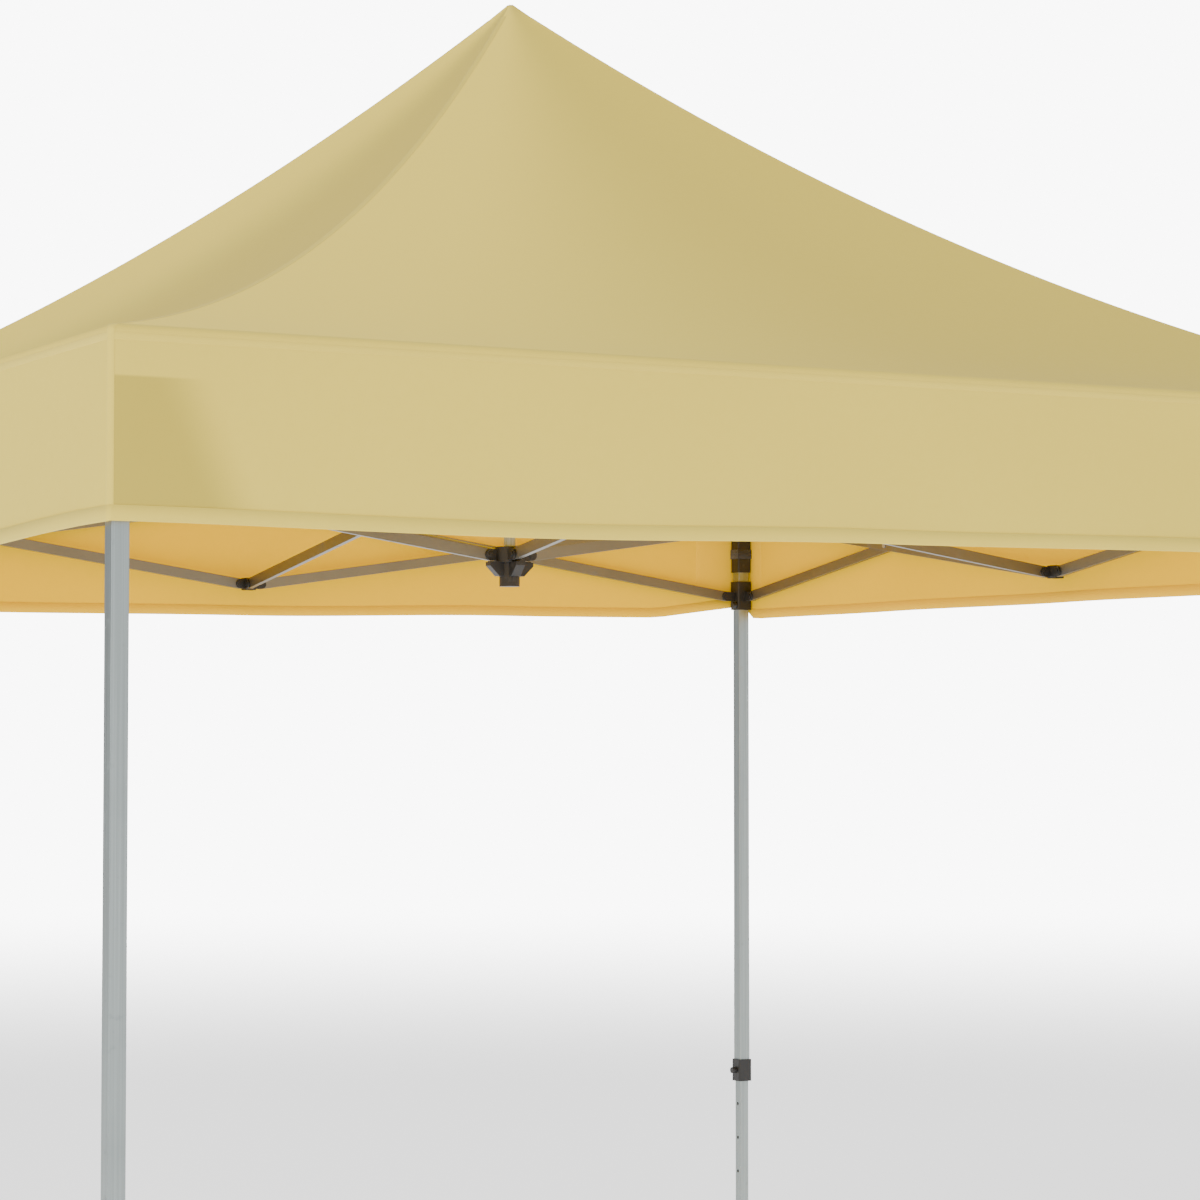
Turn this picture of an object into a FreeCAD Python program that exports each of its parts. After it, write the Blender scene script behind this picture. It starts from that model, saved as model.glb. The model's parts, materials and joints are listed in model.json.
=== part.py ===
import FreeCAD, Part
import Sketcher
import math
import os

# Pop up canopy: a folding scissor frame on four telescopic legs, under a fabric top.
#
# Lengths are in millimetres. The origin is on the ground under the middle of the canopy, with
# +X to the right, +Y to the back and +Z up. The frame has a hub pair at its centre, a connector
# pair at the middle of each side and a bracket and slider on each leg. Each pair is joined to the
# next one by two crossing bars of one length, so all the upper pivots stay level and so do the
# lower ones while the frame folds.

Vector = FreeCAD.Vector
UP = Vector(0, 0, 1)

DRIVING_SIZES = (
    ("leg_centre", 1440, "middle of the canopy to a leg's centre line, along X and along Y"),
    ("pivot_high", 2210, "height of the upper pivots"),
    ("pivot_low", 2010, "height of the lower pivots"),
    ("end_reach", 45, "centre line of a hub or a leg to its pivots"),
    ("middle_reach", 28, "centre of a side connector to its pivots"),
    ("bar_depth", 25, "scissor bar, upright size of its tube"),
    ("bar_thick", 12, "scissor bar, size of its tube along the pivots"),
    ("bar_wall", 1.2, "scissor bar, wall of its tube"),
    ("bar_gap", 4, "space between two crossing bars"),
    ("play", 0.3, "clearance beside a bar that turns"),
    ("end_room", 0.5, "clearance behind a bar's rounded end"),
    ("cheek", 3.7, "thickness of a fork's outer cheek"),
    ("lug_radius", 12, "rounded end of a fork"),
    ("pin_radius", 3, "pivot pins and rivets"),
    ("pin_play", 0.05, "running clearance round a pivot pin"),
    ("head_radius", 6, "head of a pin or rivet"),
    ("head_thick", 2, "thickness of a pin's head"),
    ("shoulder_radius", 8, "shoulder of a rivet between two crossing bars"),
    ("block_half", 15, "half the width of a side connector's block"),
    ("block_rise", 15, "a side connector's block above and below its pivots"),
    ("hub_radius", 32, "round body of both hubs"),
    ("hub_rise", 17, "a hub's body above its pivots"),
    ("hub_drop", 16, "the upper hub's body below its pivots"),
    ("boss_radius", 22, "round foot of the lower hub"),
    ("boss_drop", 68, "the lower hub's foot below its pivots"),
    ("boss_floor", 8, "thickness of the lower hub's closed end"),
    ("wing_reach", 52, "centre line of the lower hub to the ends of its wings"),
    ("wing_half", 11, "half the thickness of a wing"),
    ("wing_top", 14, "top of a wing below the lower hub's pivots"),
    ("wing_drop", 46, "a wing's flat bottom below the lower hub's pivots"),
    ("wing_slant", 22, "sloping lower corner of a wing"),
    ("pole_radius", 12.5, "peak pole, lower tube"),
    ("pole_wall", 1.9, "peak pole, wall of the lower tube"),
    ("pole_room", 0.7, "clearance of the peak pole in the upper hub"),
    ("pole_top", 2900, "height of the lower tube's upper end"),
    ("stem_radius", 10, "peak pole, upper tube"),
    ("stem_wall", 1.5, "peak pole, wall of the upper tube"),
    ("stem_foot", 2450, "height of the upper tube's lower end"),
    ("cap_centre", 3152, "height of the centre of the peak cap's dome"),
    ("cap_radius", 30, "dome of the peak cap"),
    ("cap_neck", 15, "outer radius of the peak cap's neck"),
    ("cap_skirt", 26, "the cap's dome down to its neck"),
    ("cap_length", 62, "the cap's dome centre down to its lower end"),
    ("leg_half", 15.5, "half the side of the outer leg's square tube"),
    ("leg_wall", 1.5, "wall of the outer leg"),
    ("leg_foot", 710, "height of the outer leg's lower end"),
    ("leg_head", 2250, "height of the outer leg's upper end"),
    ("sleeve_half", 20, "half the width of the bracket on the leg's top"),
    ("sleeve_foot", 2075, "height of the bracket's lower edge"),
    ("sleeve_lid", 4, "thickness of the bracket's lid over the tube"),
    ("fit", 0.2, "clearance of a moulding round the tube it is fixed to"),
    ("slider_half", 21, "half the width of the slider"),
    ("slider_room", 0.4, "clearance of the slider on the leg"),
    ("slider_rise", 40, "the slider's body above its pivots"),
    ("slider_drop", 36, "the slider's body below its pivots"),
    ("collar_half", 19.5, "half the width of the collar at the outer leg's foot"),
    ("collar_rise", 54, "the collar above the outer leg's foot"),
    ("collar_lip", 4, "the collar below the outer leg's foot"),
    ("inner_half", 12.7, "half the side of the inner leg's square tube"),
    ("inner_wall", 1.2, "wall of the inner leg"),
    ("inner_head", 1010, "height of the inner leg's upper end"),
    ("inner_room", 0.4, "clearance of the inner leg in the collar's lip"),
    ("plate_half", 35, "half the side of the foot plate"),
    ("plate_thick", 5, "thickness of the foot plate"),
    ("plate_corner", 8, "corner radius of the foot plate"),
    ("socket_half", 17, "half the width of the foot's socket"),
    ("socket_rise", 40, "the foot's socket above the plate"),
    ("stake_radius", 5, "hole for a ground stake"),
    ("stake_reach", 25, "centre line of the leg to the stake hole, along X and along Y"),
    ("hole_radius", 4.3, "holes for the latch pins"),
    ("latch_radius", 4, "latch pin"),
    ("latch_room", 0.4, "clearance between a latch pin's tip and the tube it faces"),
    ("knob_radius", 8, "knob of a latch"),
    ("knob_length", 12, "length of a latch's knob"),
    ("knob_gap", 0.8, "space between a knob and the moulding behind it"),
    ("slider_latch_drop", 24, "slider latch below the slider's pivots"),
    ("slider_latch_side", 9, "slider latch from the leg's centre plane, to the inside"),
    ("leg_latch_rise", 25, "leg latch above the outer leg's foot"),
    ("height_step", 90, "spacing of the inner leg's height holes"),
    ("eave_half", 1465, "middle of the canopy to the outside of the cloth at the eave"),
    ("eave_height", 2263, "height of the cloth at the eave"),
    ("roof_rise", 947, "the cloth's peak above the eave"),
    ("valance_foot", 1946, "height of the valance's hem"),
    ("cloth", 3, "thickness of the cloth's solid"),
    ("mitre_gap", 0.2, "space between two neighbouring sides of the cloth"),
)
HEIGHT_HOLES = 4
ROOF_SLOPE = 0.5
OVERSHOOT = 1
EDGE_ROUNDING = 4
VOLUME_TOLERANCE = 1e-3

SIDES = ("right", "back", "left", "front")
CORNERS = ("back_right", "back_left", "front_left", "front_right")

doc = FreeCAD.newDocument("pop_up_canopy")
sheet = doc.addObject("Spreadsheet::Sheet", "size")
for row, (alias, value, note) in enumerate(DRIVING_SIZES, 1):
    sheet.set(f"A{row}", note)
    sheet.set(f"B{row}", str(value))
    sheet.setAlias(f"B{row}", alias)
doc.recompute()

size = {alias: float(sheet.get(alias)) for alias, _, _ in DRIVING_SIZES}

# A pair of crossing bars spans this distance, from pivot to pivot, and rises by this height.
SPAN = "(size.leg_centre - size.end_reach - size.middle_reach)"
RISE = "(size.pivot_high - size.pivot_low)"
BAR_LENGTH = f"sqrt({SPAN}^2 + {RISE}^2)"
bar_span = size["leg_centre"] - size["end_reach"] - size["middle_reach"]
bar_rise = size["pivot_high"] - size["pivot_low"]
bar_slope = math.degrees(math.atan2(bar_rise, bar_span))
bar_offset = (size["bar_gap"] + size["bar_thick"]) / 2

# Faces of a fork across its arm, measured from the plane half-way between the crossing bars.
SLOT_NEAR = "(size.bar_gap / 2 - size.play)"
SLOT_FAR = "(size.bar_gap / 2 + size.bar_thick + size.play)"
FORK_FAR = f"({SLOT_FAR} + size.cheek)"

nodes = []


# ---------------------------------------------------------------- building blocks

def box(name, x_range, y_range, z_range):
    """A box between two expressions along each axis."""
    item = doc.addObject("Part::Box", name)
    ranges = (x_range, y_range, z_range)
    for side, axis, (low, high) in zip(("Length", "Width", "Height"), "xyz", ranges):
        item.setExpression(side, f"({high}) - ({low})")
        item.setExpression(f"Placement.Base.{axis}", low)
    return item


def square(name, half, z_range):
    """An upright square block about the Z axis."""
    across = (f"-{half}", half)
    return box(name, across, across, z_range)


def rod(name, direction, radius, start, length):
    """A round rod from a point given by three expressions, along +X, +Y or +Z."""
    item = doc.addObject("Part::Cylinder", name)
    item.Placement = FreeCAD.Placement(Vector(), FreeCAD.Rotation(UP, direction))
    item.setExpression("Radius", radius)
    item.setExpression("Height", length)
    for axis, value in zip("xyz", start):
        item.setExpression(f"Placement.Base.{axis}", value)
    return item


def fuse(name, items):
    """One solid made of several that overlap."""
    item = doc.addObject("Part::MultiFuse", name)
    item.Shapes = items
    item.Refine = True
    return item


def cut(name, base, tools):
    """A solid less one or more others."""
    item = doc.addObject("Part::Cut", name)
    item.Base = base
    item.Tool = tools[0] if len(tools) == 1 else fuse(name + "_tools", tools)
    item.Refine = True
    return item


def group(name, items):
    """Separate solids that are fixed to each other."""
    item = doc.addObject("Part::Compound", name)
    item.Links = items
    return item


def round_uprights(name, block, radius):
    """A block with its four upright edges rounded."""
    doc.recompute()
    item = doc.addObject("Part::Fillet", name)
    item.Base = block
    item.Edges = [
        (number, radius, radius)
        for number, edge in enumerate(block.Shape.Edges, 1)
        if abs(edge.tangentAt(edge.FirstParameter).z) > 0.9
    ]
    return item


def turned(item, angle, height="0"):
    """Turn an item about the Z axis and lift it to a height given by an expression."""
    item.Placement = FreeCAD.Placement(Vector(), FreeCAD.Rotation(UP, angle))
    item.setExpression("Placement.Base.z", height)
    return item


def node(name, item, base=Vector(), rotation=FreeCAD.Rotation()):
    """Name a finished sub-part and put it where it belongs."""
    item.Label = name
    item.Placement = FreeCAD.Placement(base, rotation)
    nodes.append(item)


def origin_plane(body, role):
    """One of a body's own origin planes."""
    return next(plane for plane in body.Origin.OriginFeatures if plane.Role == role)


def sketch_on(body, role, name):
    """A new sketch on one of a body's origin planes."""
    sketch = body.newObject("Sketcher::SketchObject", name)
    sketch.AttachmentSupport = [(origin_plane(body, role), "")]
    sketch.MapMode = "FlatFace"
    return sketch


def bind(sketch, kind, *places, value, expression):
    """Add a sketch dimension and bind it to the spreadsheet."""
    number = sketch.addConstraint(Sketcher.Constraint(kind, *places, value))
    sketch.setExpression(f"Constraints[{number}]", expression)


def across(side, near, far):
    """A range along Y, given on the +Y side and mirrored for side -1."""
    return (near, far) if side > 0 else (f"-{far}", f"-{near}")


# ---------------------------------------------------------------- pivots

def headed_pin(name, reach, low, high):
    """A pin along Y at X = reach, with a head outside each end of the range."""
    length = f"({high} - {low} + 2 * size.head_thick)"
    shank = rod(name + "_shank", Vector(0, 1, 0), "size.pin_radius",
                (reach, f"{low} - size.head_thick", "0"), length)
    near = rod(name + "_near", Vector(0, 1, 0), "size.head_radius",
               (reach, f"{low} - size.head_thick", "0"), "size.head_thick")
    far = rod(name + "_far", Vector(0, 1, 0), "size.head_radius", (reach, high, "0"), "size.head_thick")
    return fuse(name, [shank, near, far])


def fork(name, reach, side, angle):
    """The arm, the cut-outs and the pin of a fork that holds one bar end.

    The arm points along +X before it is turned by the angle, and the bar lies on its +Y side
    for side 1 and on its -Y side for side -1.
    """
    low, high = across(side, f"(-{SLOT_NEAR})", FORK_FAR)
    width = f"({high} - ({low}))"
    y_axis = Vector(0, 1, 0)
    beam = box(name + "_beam", ("0", reach), (low, high), ("-size.lug_radius", "size.lug_radius"))
    lug = rod(name + "_lug", y_axis, "size.lug_radius", (reach, low, "0"), width)
    slot = box(
        name + "_slot",
        (f"{reach} - size.bar_depth / 2 - size.end_room", f"{reach} + size.lug_radius + {OVERSHOOT}"),
        across(side, SLOT_NEAR, SLOT_FAR),
        (f"-size.block_rise - {OVERSHOOT}", f"size.block_rise + {OVERSHOOT}"),
    )
    bore = rod(name + "_bore", y_axis, "size.pin_radius + size.pin_play",
               (reach, f"({low}) - {OVERSHOOT}", "0"), f"{width} + 2 * {OVERSHOOT}")
    arm = turned(fuse(name + "_arm", [beam, lug]), angle)
    space = turned(fuse(name + "_space", [slot, bore]), angle)
    pin = turned(headed_pin(name + "_pin", reach, f"({low})", f"({high})"), angle)
    return arm, space, pin


def rivet(name, toward):
    """The rivet at a bar's middle, with a shoulder between this bar and the next one."""
    y_axis = Vector(0, 1, 0)
    own_face = "(size.bar_thick / 2)"
    next_face = f"({own_face} + size.bar_gap + size.bar_thick + size.play)"
    shoulder_range = across(toward, f"({own_face} + size.play)", f"({own_face} + size.bar_gap - size.play)")
    low, high = across(toward, f"(-{own_face})", next_face)
    pin = headed_pin(name + "_pin", "0", f"({low})", f"({high})")
    shoulder = rod(name + "_shoulder", y_axis, "size.shoulder_radius",
                   ("0", shoulder_range[0], "0"), "size.bar_gap - 2 * size.play")
    return fuse(name, [pin, shoulder])


# ---------------------------------------------------------------- scissor bars

def scissor_bar(name):
    """A rectangular tube along X with rounded ends and three pivot holes."""
    body = doc.addObject("PartDesign::Body", name)
    length = math.hypot(bar_span, bar_rise)
    half, radius = length / 2, size["bar_depth"] / 2
    hole = size["pin_radius"] + size["pin_play"]

    outline = sketch_on(body, "XZ_Plane", name + "_outline")
    right_end = Part.Circle(Vector(half, 0, 0), UP, radius)
    left_end = Part.Circle(Vector(-half, 0, 0), UP, radius)
    outline.addGeometry([
        Part.LineSegment(Vector(-half, radius, 0), Vector(half, radius, 0)),
        Part.LineSegment(Vector(half, -radius, 0), Vector(-half, -radius, 0)),
        Part.ArcOfCircle(right_end, -math.pi / 2, math.pi / 2),
        Part.ArcOfCircle(left_end, math.pi / 2, 3 * math.pi / 2),
        Part.Circle(Vector(-half, 0, 0), UP, hole),
        Part.Circle(Vector(0, 0, 0), UP, hole),
        Part.Circle(Vector(half, 0, 0), UP, hole),
    ], False)
    outline.addConstraint([
        Sketcher.Constraint("Tangent", 0, 2, 2, 2),
        Sketcher.Constraint("Tangent", 1, 1, 2, 1),
        Sketcher.Constraint("Tangent", 0, 1, 3, 1),
        Sketcher.Constraint("Tangent", 1, 2, 3, 2),
        Sketcher.Constraint("Horizontal", 0),
        Sketcher.Constraint("Symmetric", 3, 3, 2, 3, -1, 1),
        Sketcher.Constraint("Coincident", 4, 3, 3, 3),
        Sketcher.Constraint("Coincident", 5, 3, -1, 1),
        Sketcher.Constraint("Coincident", 6, 3, 2, 3),
        Sketcher.Constraint("Equal", 4, 5),
        Sketcher.Constraint("Equal", 5, 6),
    ])
    bind(outline, "Radius", 2, value=radius, expression="size.bar_depth / 2")
    bind(outline, "Radius", 4, value=hole, expression="size.pin_radius + size.pin_play")
    bind(outline, "DistanceX", 3, 3, 2, 3, value=length, expression=BAR_LENGTH)

    pad = body.newObject("PartDesign::Pad", name + "_pad")
    pad.Profile = outline
    pad.Midplane = True
    pad.setExpression("Length", "size.bar_thick")

    section = sketch_on(body, "YZ_Plane", name + "_section")
    half_y = size["bar_thick"] / 2 - size["bar_wall"]
    half_z = size["bar_depth"] / 2 - size["bar_wall"]
    corners = [Vector(-half_y, -half_z, 0), Vector(half_y, -half_z, 0),
               Vector(half_y, half_z, 0), Vector(-half_y, half_z, 0)]
    for start, end in zip(corners, corners[1:] + corners[:1]):
        section.addGeometry(Part.LineSegment(start, end), False)
    section.addConstraint([Sketcher.Constraint("Coincident", i, 2, (i + 1) % 4, 1) for i in range(4)])
    section.addConstraint([Sketcher.Constraint("Horizontal", 0), Sketcher.Constraint("Horizontal", 2)])
    section.addConstraint([Sketcher.Constraint("Vertical", 1), Sketcher.Constraint("Vertical", 3)])
    section.addConstraint(Sketcher.Constraint("Symmetric", 0, 1, 2, 1, -1, 1))
    bind(section, "DistanceX", 0, 1, 0, 2, value=2 * half_y,
         expression="size.bar_thick - 2 * size.bar_wall")
    bind(section, "DistanceY", 1, 1, 1, 2, value=2 * half_z,
         expression="size.bar_depth - 2 * size.bar_wall")

    hollow = body.newObject("PartDesign::Pocket", name + "_hollow")
    hollow.Profile = section
    hollow.Midplane = True
    hollow.setExpression("Length", f"{BAR_LENGTH} + 2 * size.bar_depth")
    return body, pad


def place_bar(name, centre, heading, pitch, rivet_toward=0):
    """A scissor bar in its place, with the rivet that it carries if it has one."""
    body, pad = scissor_bar(name + "_tube" if rivet_toward else name)
    bars.append((body, pad))
    rotation = FreeCAD.Rotation(UP, heading) * FreeCAD.Rotation(Vector(0, 1, 0), pitch)
    if rivet_toward:
        node(name, group(name, [body, rivet(name + "_rivet", rivet_toward)]), centre, rotation)
    else:
        node(name, body, centre, rotation)


def make_bars():
    """The four inner pairs from the hubs to the sides, and the eight pairs along the sides."""
    height = (size["pivot_high"] + size["pivot_low"]) / 2
    inner_middle = size["end_reach"] + bar_span / 2
    outer_middle = size["middle_reach"] + bar_span / 2
    for index, side in enumerate(SIDES):
        heading = 90 * index
        turn = FreeCAD.Rotation(UP, heading)
        high_start = turn.multVec(Vector(inner_middle, bar_offset, height))
        low_start = turn.multVec(Vector(inner_middle, -bar_offset, height))
        place_bar(f"inner_bar_{side}_high", high_start, heading, bar_slope, -1)
        place_bar(f"inner_bar_{side}_low", low_start, heading, -bar_slope)
        for half, corner in ((1, CORNERS[index]), (-1, CORNERS[index - 1])):
            outside = turn.multVec(Vector(size["leg_centre"] + bar_offset, half * outer_middle, height))
            inside = turn.multVec(Vector(size["leg_centre"] - bar_offset, half * outer_middle, height))
            along = heading + 90 * half
            place_bar(f"bar_{side}_{corner}_slider", outside, along, bar_slope, half)
            place_bar(f"bar_{side}_{corner}_top", inside, along, -bar_slope)


# ---------------------------------------------------------------- hubs and side connectors

def moulding(name, blocks, forks, bores):
    """A moulded part made of blocks and forks, with the pins that its forks hold."""
    solid = fuse(name + "_solid", blocks + [arm for arm, _, _ in forks])
    shaped = cut(name + "_moulding", solid, [space for _, space, _ in forks] + bores)
    return [shaped] + [pin for _, _, pin in forks]


def hub_wing(name, angle):
    """A pair of wings across the lower hub, with their two lower corners cut off at a slope."""
    slab = box(name + "_slab", ("-size.wing_reach", "size.wing_reach"),
               ("-size.wing_half", "size.wing_half"), ("-size.wing_drop", "-size.wing_top"))
    doc.recompute()
    wing = doc.addObject("Part::Chamfer", name)
    wing.Base = slab
    wing.Edges = [
        (number, size["wing_slant"], size["wing_slant"])
        for number, edge in enumerate(slab.Shape.Edges, 1)
        if abs(edge.tangentAt(edge.FirstParameter).y) > 0.9
        and edge.CenterOfMass.z < -size["wing_drop"] + 1e-6
    ]
    return turned(wing, angle)


def make_hubs():
    """The upper hub, which the peak pole slides through, and the lower hub, which carries it."""
    angles = [90 * index for index in range(4)]
    body = rod("hub_upper_body", UP, "size.hub_radius", ("0", "0", "-size.hub_drop"),
               "size.hub_drop + size.hub_rise")
    bore = rod("hub_upper_hole", UP, "size.pole_radius + size.pole_room",
               ("0", "0", f"-size.hub_drop - {OVERSHOOT}"),
               f"size.hub_drop + size.hub_rise + 2 * {OVERSHOOT}")
    forks = [fork(f"hub_upper_fork_{angle}", "size.end_reach", 1, angle) for angle in angles]
    pieces = moulding("hub_upper", [body], forks, [bore])
    node("hub_upper", group("hub_upper", pieces), Vector(0, 0, size["pivot_high"]))

    body = rod("hub_lower_body", UP, "size.hub_radius", ("0", "0", "-size.hub_drop"),
               "size.hub_drop + size.hub_rise")
    boss = rod("hub_lower_boss", UP, "size.boss_radius", ("0", "0", "-size.boss_drop"), "size.boss_drop")
    bore = rod("hub_lower_hole", UP, "size.pole_radius", ("0", "0", "size.boss_floor - size.boss_drop"),
               "size.boss_drop + size.hub_rise")
    wings = [hub_wing("hub_lower_wing_x", 0), hub_wing("hub_lower_wing_y", 90)]
    forks = [fork(f"hub_lower_fork_{angle}", "size.end_reach", -1, angle) for angle in angles]
    pieces = moulding("hub_lower", [body, boss] + wings, forks, [bore])
    node("hub_lower", group("hub_lower", pieces), Vector(0, 0, size["pivot_low"]))


def make_side_connectors():
    """The upper and lower connector at the middle of each side, with one inner and two outer forks."""
    for index, side in enumerate(SIDES):
        rotation = FreeCAD.Rotation(UP, 90 * index)
        for level, hand in (("upper", 1), ("lower", -1)):
            name = f"connector_{level}_{side}"
            block = square(name + "_block", "size.block_half", ("-size.block_rise", "size.block_rise"))
            block = round_uprights(name + "_rounded", block, EDGE_ROUNDING)
            forks = [
                fork(name + "_fork_in", "size.middle_reach", hand, 180),
                fork(name + "_fork_next", "size.middle_reach", -hand, 90),
                fork(name + "_fork_last", "size.middle_reach", hand, -90),
            ]
            height = size["pivot_high"] if level == "upper" else size["pivot_low"]
            place = rotation.multVec(Vector(size["leg_centre"], 0, height))
            node(name, group(name, moulding(name, [block], forks, [])), place, rotation)


# ---------------------------------------------------------------- peak pole

def make_peak_pole():
    """The lower tube in the lower hub, and the upper tube that slides in it with its cap."""
    foot = "(size.pivot_low - size.boss_drop + size.boss_floor)"
    outside = rod("pole_outside", UP, "size.pole_radius", ("0", "0", foot), f"size.pole_top - {foot}")
    inside = rod("pole_inside", UP, "size.pole_radius - size.pole_wall",
                 ("0", "0", f"{foot} - {OVERSHOOT}"), f"size.pole_top - {foot} + 2 * {OVERSHOOT}")
    node("peak_pole_lower", cut("peak_pole_lower", outside, [inside]))

    outside = rod("stem_outside", UP, "size.stem_radius", ("0", "0", "size.stem_foot"),
                  "size.cap_centre - size.stem_foot")
    inside = rod("stem_inside", UP, "size.stem_radius - size.stem_wall",
                 ("0", "0", f"size.stem_foot - {OVERSHOOT}"),
                 f"size.cap_centre - size.stem_foot + 2 * {OVERSHOOT}")
    stem = cut("stem", outside, [inside])

    cap = doc.addObject("PartDesign::Body", "peak_cap")
    profile = sketch_on(cap, "XZ_Plane", "peak_cap_profile")
    centre, dome = size["cap_centre"], size["cap_radius"]
    bore, neck = size["stem_radius"], size["cap_neck"]
    shoulder, end = centre - size["cap_skirt"], centre - size["cap_length"]
    top = Vector(0, centre + dome, 0)
    rim = Vector(dome, centre, 0)
    points = [rim, Vector(neck, shoulder, 0), Vector(neck, end, 0), Vector(bore, end, 0),
              Vector(bore, centre, 0), Vector(0, centre, 0), top]
    for start, finish in zip(points, points[1:]):
        profile.addGeometry(Part.LineSegment(start, finish), False)
    dome_circle = Part.Circle(Vector(0, centre, 0), UP, dome)
    profile.addGeometry(Part.ArcOfCircle(dome_circle, 0, math.pi / 2), False)
    last = len(points) - 1
    for line in range(last - 1):
        profile.addConstraint(Sketcher.Constraint("Coincident", line, 2, line + 1, 1))
    profile.addConstraint(Sketcher.Constraint("Coincident", last - 1, 2, last, 2))
    profile.addConstraint(Sketcher.Constraint("Coincident", last, 1, 0, 1))
    profile.addConstraint(Sketcher.Constraint("Coincident", last, 3, 4, 2))
    profile.addConstraint([Sketcher.Constraint("Vertical", line) for line in (1, 3, 5)])
    profile.addConstraint([Sketcher.Constraint("Horizontal", line) for line in (2, 4)])
    profile.addConstraint(Sketcher.Constraint("PointOnObject", 4, 2, -2))
    bind(profile, "Radius", last, value=dome, expression="size.cap_radius")
    bind(profile, "DistanceX", -1, 1, 3, 1, value=bore, expression="size.stem_radius")
    bind(profile, "DistanceX", -1, 1, 1, 1, value=neck, expression="size.cap_neck")
    bind(profile, "DistanceY", -1, 1, 4, 2, value=centre, expression="size.cap_centre")
    bind(profile, "DistanceY", 1, 1, 4, 2, value=centre - shoulder, expression="size.cap_skirt")
    bind(profile, "DistanceY", 2, 1, 4, 2, value=centre - end, expression="size.cap_length")
    turning = cap.newObject("PartDesign::Revolution", "peak_cap_turning")
    turning.Profile = profile
    turning.ReferenceAxis = (profile, ["V_Axis"])
    node("peak_pole_top", group("peak_pole_top", [stem, cap]))


# ---------------------------------------------------------------- legs

def leg_forks(name, hand):
    """The two forks of a leg's bracket or slider, along -X and -Y in the back right corner."""
    return [
        fork(name + "_fork_x", "size.end_reach", hand, 180),
        fork(name + "_fork_y", "size.end_reach", -hand, -90),
    ]


def make_outer_leg(name, place, rotation):
    """The outer tube with the bracket on its top and the collar at its foot."""
    outside = square(name + "_outside", "size.leg_half", ("size.leg_foot", "size.leg_head"))
    inside = square(name + "_inside", "(size.leg_half - size.leg_wall)",
                    (f"size.leg_foot - {OVERSHOOT}", f"size.leg_head + {OVERSHOOT}"))
    latch_height = "(size.leg_foot + size.leg_latch_rise)"
    x_axis = Vector(1, 0, 0)
    tube_hole = rod(name + "_hole", x_axis, "size.hole_radius",
                    ("-size.leg_half - 1", "0", latch_height), "size.leg_half")
    outside = round_uprights(name + "_rounded", outside, size["leg_wall"])
    tube = cut(name + "_tube", outside, [inside, tube_hole])

    lid = "(size.leg_head - size.pivot_high + size.fit + size.sleeve_lid)"
    shell = square(name + "_sleeve", "size.sleeve_half", ("size.sleeve_foot - size.pivot_high", lid))
    shell = round_uprights(name + "_sleeve_rounded", shell, EDGE_ROUNDING)
    bore = square(name + "_sleeve_bore", "(size.leg_half + size.fit)",
                  (f"size.sleeve_foot - size.pivot_high - {OVERSHOOT}",
                   "size.leg_head - size.pivot_high + size.fit"))
    bracket = group(name + "_bracket", moulding(name + "_top", [shell], leg_forks(name, 1), [bore]))
    bracket = turned(bracket, 0, "size.pivot_high")

    ring = square(name + "_ring", "size.collar_half",
                  ("size.leg_foot - size.collar_lip", "size.leg_foot + size.collar_rise"))
    ring = round_uprights(name + "_ring_rounded", ring, EDGE_ROUNDING)
    seat = square(name + "_seat", "(size.leg_half + size.fit)",
                  ("size.leg_foot", f"size.leg_foot + size.collar_rise + {OVERSHOOT}"))
    lip = square(name + "_lip", "(size.inner_half + size.inner_room)",
                 (f"size.leg_foot - size.collar_lip - {OVERSHOOT}", f"size.leg_foot + {OVERSHOOT}"))
    latch_hole = rod(name + "_latch_hole", x_axis, "size.hole_radius",
                     ("-size.collar_half - 1", "0", latch_height), "size.collar_half")
    collar = cut(name + "_collar", ring, [seat, lip, latch_hole])
    node(name, group(name, [tube, collar, bracket]), place, rotation)


def make_slider(name, place, rotation):
    """The slider that runs on the outer leg and holds the lower ends of two side bars."""
    body = square(name + "_body", "size.slider_half", ("-size.slider_drop", "size.slider_rise"))
    body = round_uprights(name + "_rounded", body, EDGE_ROUNDING)
    bore = square(name + "_bore", "(size.leg_half + size.slider_room)",
                  (f"-size.slider_drop - {OVERSHOOT}", f"size.slider_rise + {OVERSHOOT}"))
    hole = rod(name + "_hole", Vector(1, 0, 0), "size.hole_radius",
               ("-size.slider_half - 1", "-size.slider_latch_side", "-size.slider_latch_drop"),
               "size.slider_half")
    pieces = moulding(name, [body], leg_forks(name, -1), [bore, hole])
    node(name, group(name, pieces), place + UP * size["pivot_low"], rotation)


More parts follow.
